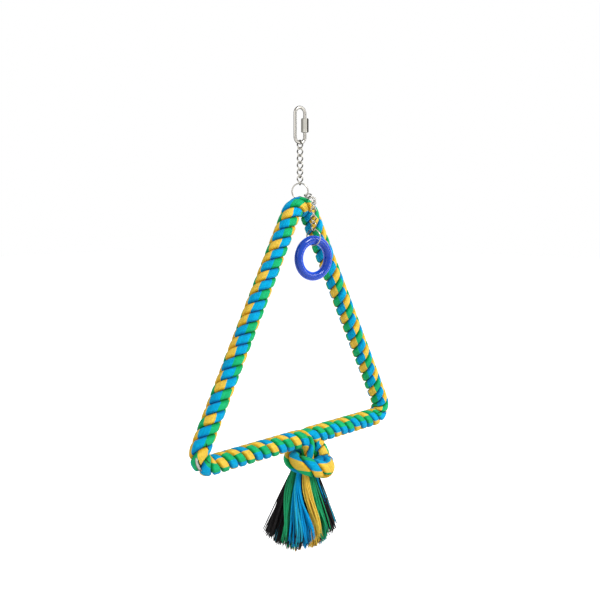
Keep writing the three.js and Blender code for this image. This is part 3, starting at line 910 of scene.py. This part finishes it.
def add_ring(name, body, node, centre, turn, diameter, section, material, slot, sides):
    radius = (diameter - section) / 2
    build = Build()
    points = arc(centre, radius, 0, 360, level(turn), UP, 0.5)[:-1]
    build.tube(points, section / 2, sides, level(turn), closed=True)
    return place(build.make(name, material), body, slot, node)


def add_side_chain():
    ring_level = level(ring_turn)
    centre = Vector((0, 0, ring_centre_z))
    seat = centre + ring_radius * between(ring_level, UP, hook_angle)
    seat_tangent = between(ring_level, UP, hook_angle + 90)
    distance = ring_wire / 2 + hook_gap + chain_wire / 2
    heading = level(side_chain_heading)
    for index, tilt in enumerate(side_chain_tilts):
        along = between(DOWN, heading, tilt)
        square = along.cross(seat_tangent).normalized()
        tangent = turned(square, along, side_chain_turn if index else 0)
        node = "toy_link_" + str(index + 1)
        seat, seat_tangent = add_chain_link("toy_wire_" + str(index + 1), node, node,
                                            seat, seat_tangent, along, tangent, distance,
                                            side_steel)
        distance = crown_seat
    return seat


def add_toy_rings(seat):
    small = seat + UP * (ring_seat - ring_radius)
    add_ring("toy_small_ring_wire", "small_ring", "toy_small_ring", small,
             small_ring_turn, ring_diameter, ring_wire, side_steel, "chain_steel", 14)
    hang = ring_radius - ring_wire / 2 - touch_gap
    toy = small - UP * (hang + toy_ring_diameter / 2 - toy_ring_section)
    add_ring("toy_ring_plastic", "toy_ring", "toy_ring", toy, toy_ring_turn,
             toy_ring_diameter, toy_ring_section, blue_plastic, "blue_plastic", 48)


# How many of the rope's stations the core wire stops short of each of its ends
core_inset = 20


def add_core():
    """The wire inside the rope, with the eye that stands out of the rope's top."""
    build = Build()
    inner = resampled(loop[core_inset:-core_inset], 2.0)
    build.tube(inner, core_wire / 2, 16, FRONT)
    bend = (eye_opening + eye_wire) / 2
    foot_z = apex_z - apex_bend + math.sqrt(apex_bend ** 2 - bend ** 2)
    centre = Vector((0, 0, eye_top_z - eye_wire / 2 - bend))
    x_way = Vector((1, 0, 0))
    eye = joined([Vector((-bend, 0, foot_z))], arc(centre, bend, 180, 0, x_way, UP, 0.4),
                 [Vector((bend, 0, foot_z))])
    build.tube(resampled(eye, 0.4), eye_wire / 2, 20, FRONT)
    place(build.make("core_wire_and_eye", core_steel), "frame", "core_steel",
          "core_wire")


add_screw_link()
add_hanger_chain()
add_ring("main_ring_wire", "main_ring", "main_ring", Vector((0, 0, ring_centre_z)),
         ring_turn, ring_diameter, ring_wire, chain_steel, "chain_steel", 14)
add_toy_rings(add_side_chain())
add_core()
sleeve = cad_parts["core_sleeve"]
for material_slot in sleeve.material_slots:
    material_slot.material = core_steel

# ---------------------------------------------------------------- camera, light, floor

camera_place = Vector((-0.6717, -0.5985, -0.0964))
camera_heading, camera_dip = 48.3, 6.2
look = level(90 - camera_heading) * math.cos(math.radians(camera_dip))
look += DOWN * math.sin(math.radians(camera_dip))
camera_data = bpy.data.cameras.new("camera")
camera_data.sensor_width = 36
camera_data.lens = 52.5
camera = bpy.data.objects.new("camera", camera_data)
camera.location = camera_place
camera.rotation_euler = look.to_track_quat("-Z", "Y").to_euler()
bpy.context.scene.collection.objects.link(camera)
bpy.context.scene.camera = camera


def add_lamp(name, place_, target, width, power, height=None):
    data = bpy.data.lights.new(name, "AREA")
    data.shape = "RECTANGLE" if height else "DISK"
    data.size = width
    data.size_y = height or width
    data.energy = power
    lamp = bpy.data.objects.new(name, data)
    lamp.location = place_
    lamp.rotation_euler = (Vector(target) - Vector(place_)).to_track_quat("-Z", "Y").to_euler()
    bpy.context.scene.collection.objects.link(lamp)


centre_of_part = (0, 0, -0.25)
add_lamp("key_lamp", (0.24, -1.71, 1.28), centre_of_part, 0.9, 35)
add_lamp("fill_lamp", (-1.6, 0.1, 0.5), centre_of_part, 1.2, 8)
add_lamp("strip_lamp", (0.9, -1.35, -0.1), centre_of_part, 0.3, 19, 3)


def background_rays(tree):
    """1 for the camera and for what metal and clear plastic show, 0 for the light."""
    rays = tree.nodes.new("ShaderNodeLightPath").outputs
    seen = rays["Is Camera Ray"]
    for ray in ("Is Glossy Ray", "Is Transmission Ray"):
        most = tree.nodes.new("ShaderNodeMath")
        most.operation = "MAXIMUM"
        tree.links.new(seen, most.inputs[0])
        tree.links.new(rays[ray], most.inputs[1])
        seen = most.outputs[0]
    return seen


world = bpy.data.worlds.new("studio")
world.use_nodes = True
bpy.context.scene.world = world
tree = world.node_tree
background = tree.nodes["Background"]
background.inputs["Color"].default_value = (1, 1, 1, 1)
strength = tree.nodes.new("ShaderNodeMapRange")
strength.inputs["To Min"].default_value = 0.46
strength.inputs["To Max"].default_value = 1.0
tree.links.new(background_rays(tree), strength.inputs["Value"])
tree.links.new(strength.outputs[0], background.inputs["Strength"])


# Half of the floor's side in metres, and how far it lies below the tassel in mm
floor_half, floor_gap = 6, 60


def add_floor():
    half = floor_half
    build = Build()
    height = cad_box[0][2] / MM - floor_gap
    for x, y in ((-half, -half), (half, -half), (half, half), (-half, half)):
        build.add(Vector((x / MM, y / MM, height)))
    build.faces.append((0, 1, 2, 3))
    nodes = Nodes("pale_floor")
    grain = nodes.noise(nodes.object_place(), 12.0)
    nodes.set(Base_Color=linear(238, 238, 238), Roughness=nodes.ranged(grain, 0.85, 0.95))
    seen = background_rays(nodes.tree)
    nodes.set(Emission_Color=(1, 1, 1, 1), Emission_Strength=nodes.ranged(seen, 0, 0.7))
    build.make("floor", nodes.material)


add_floor()
bpy.context.scene.view_settings.view_transform = "Standard"
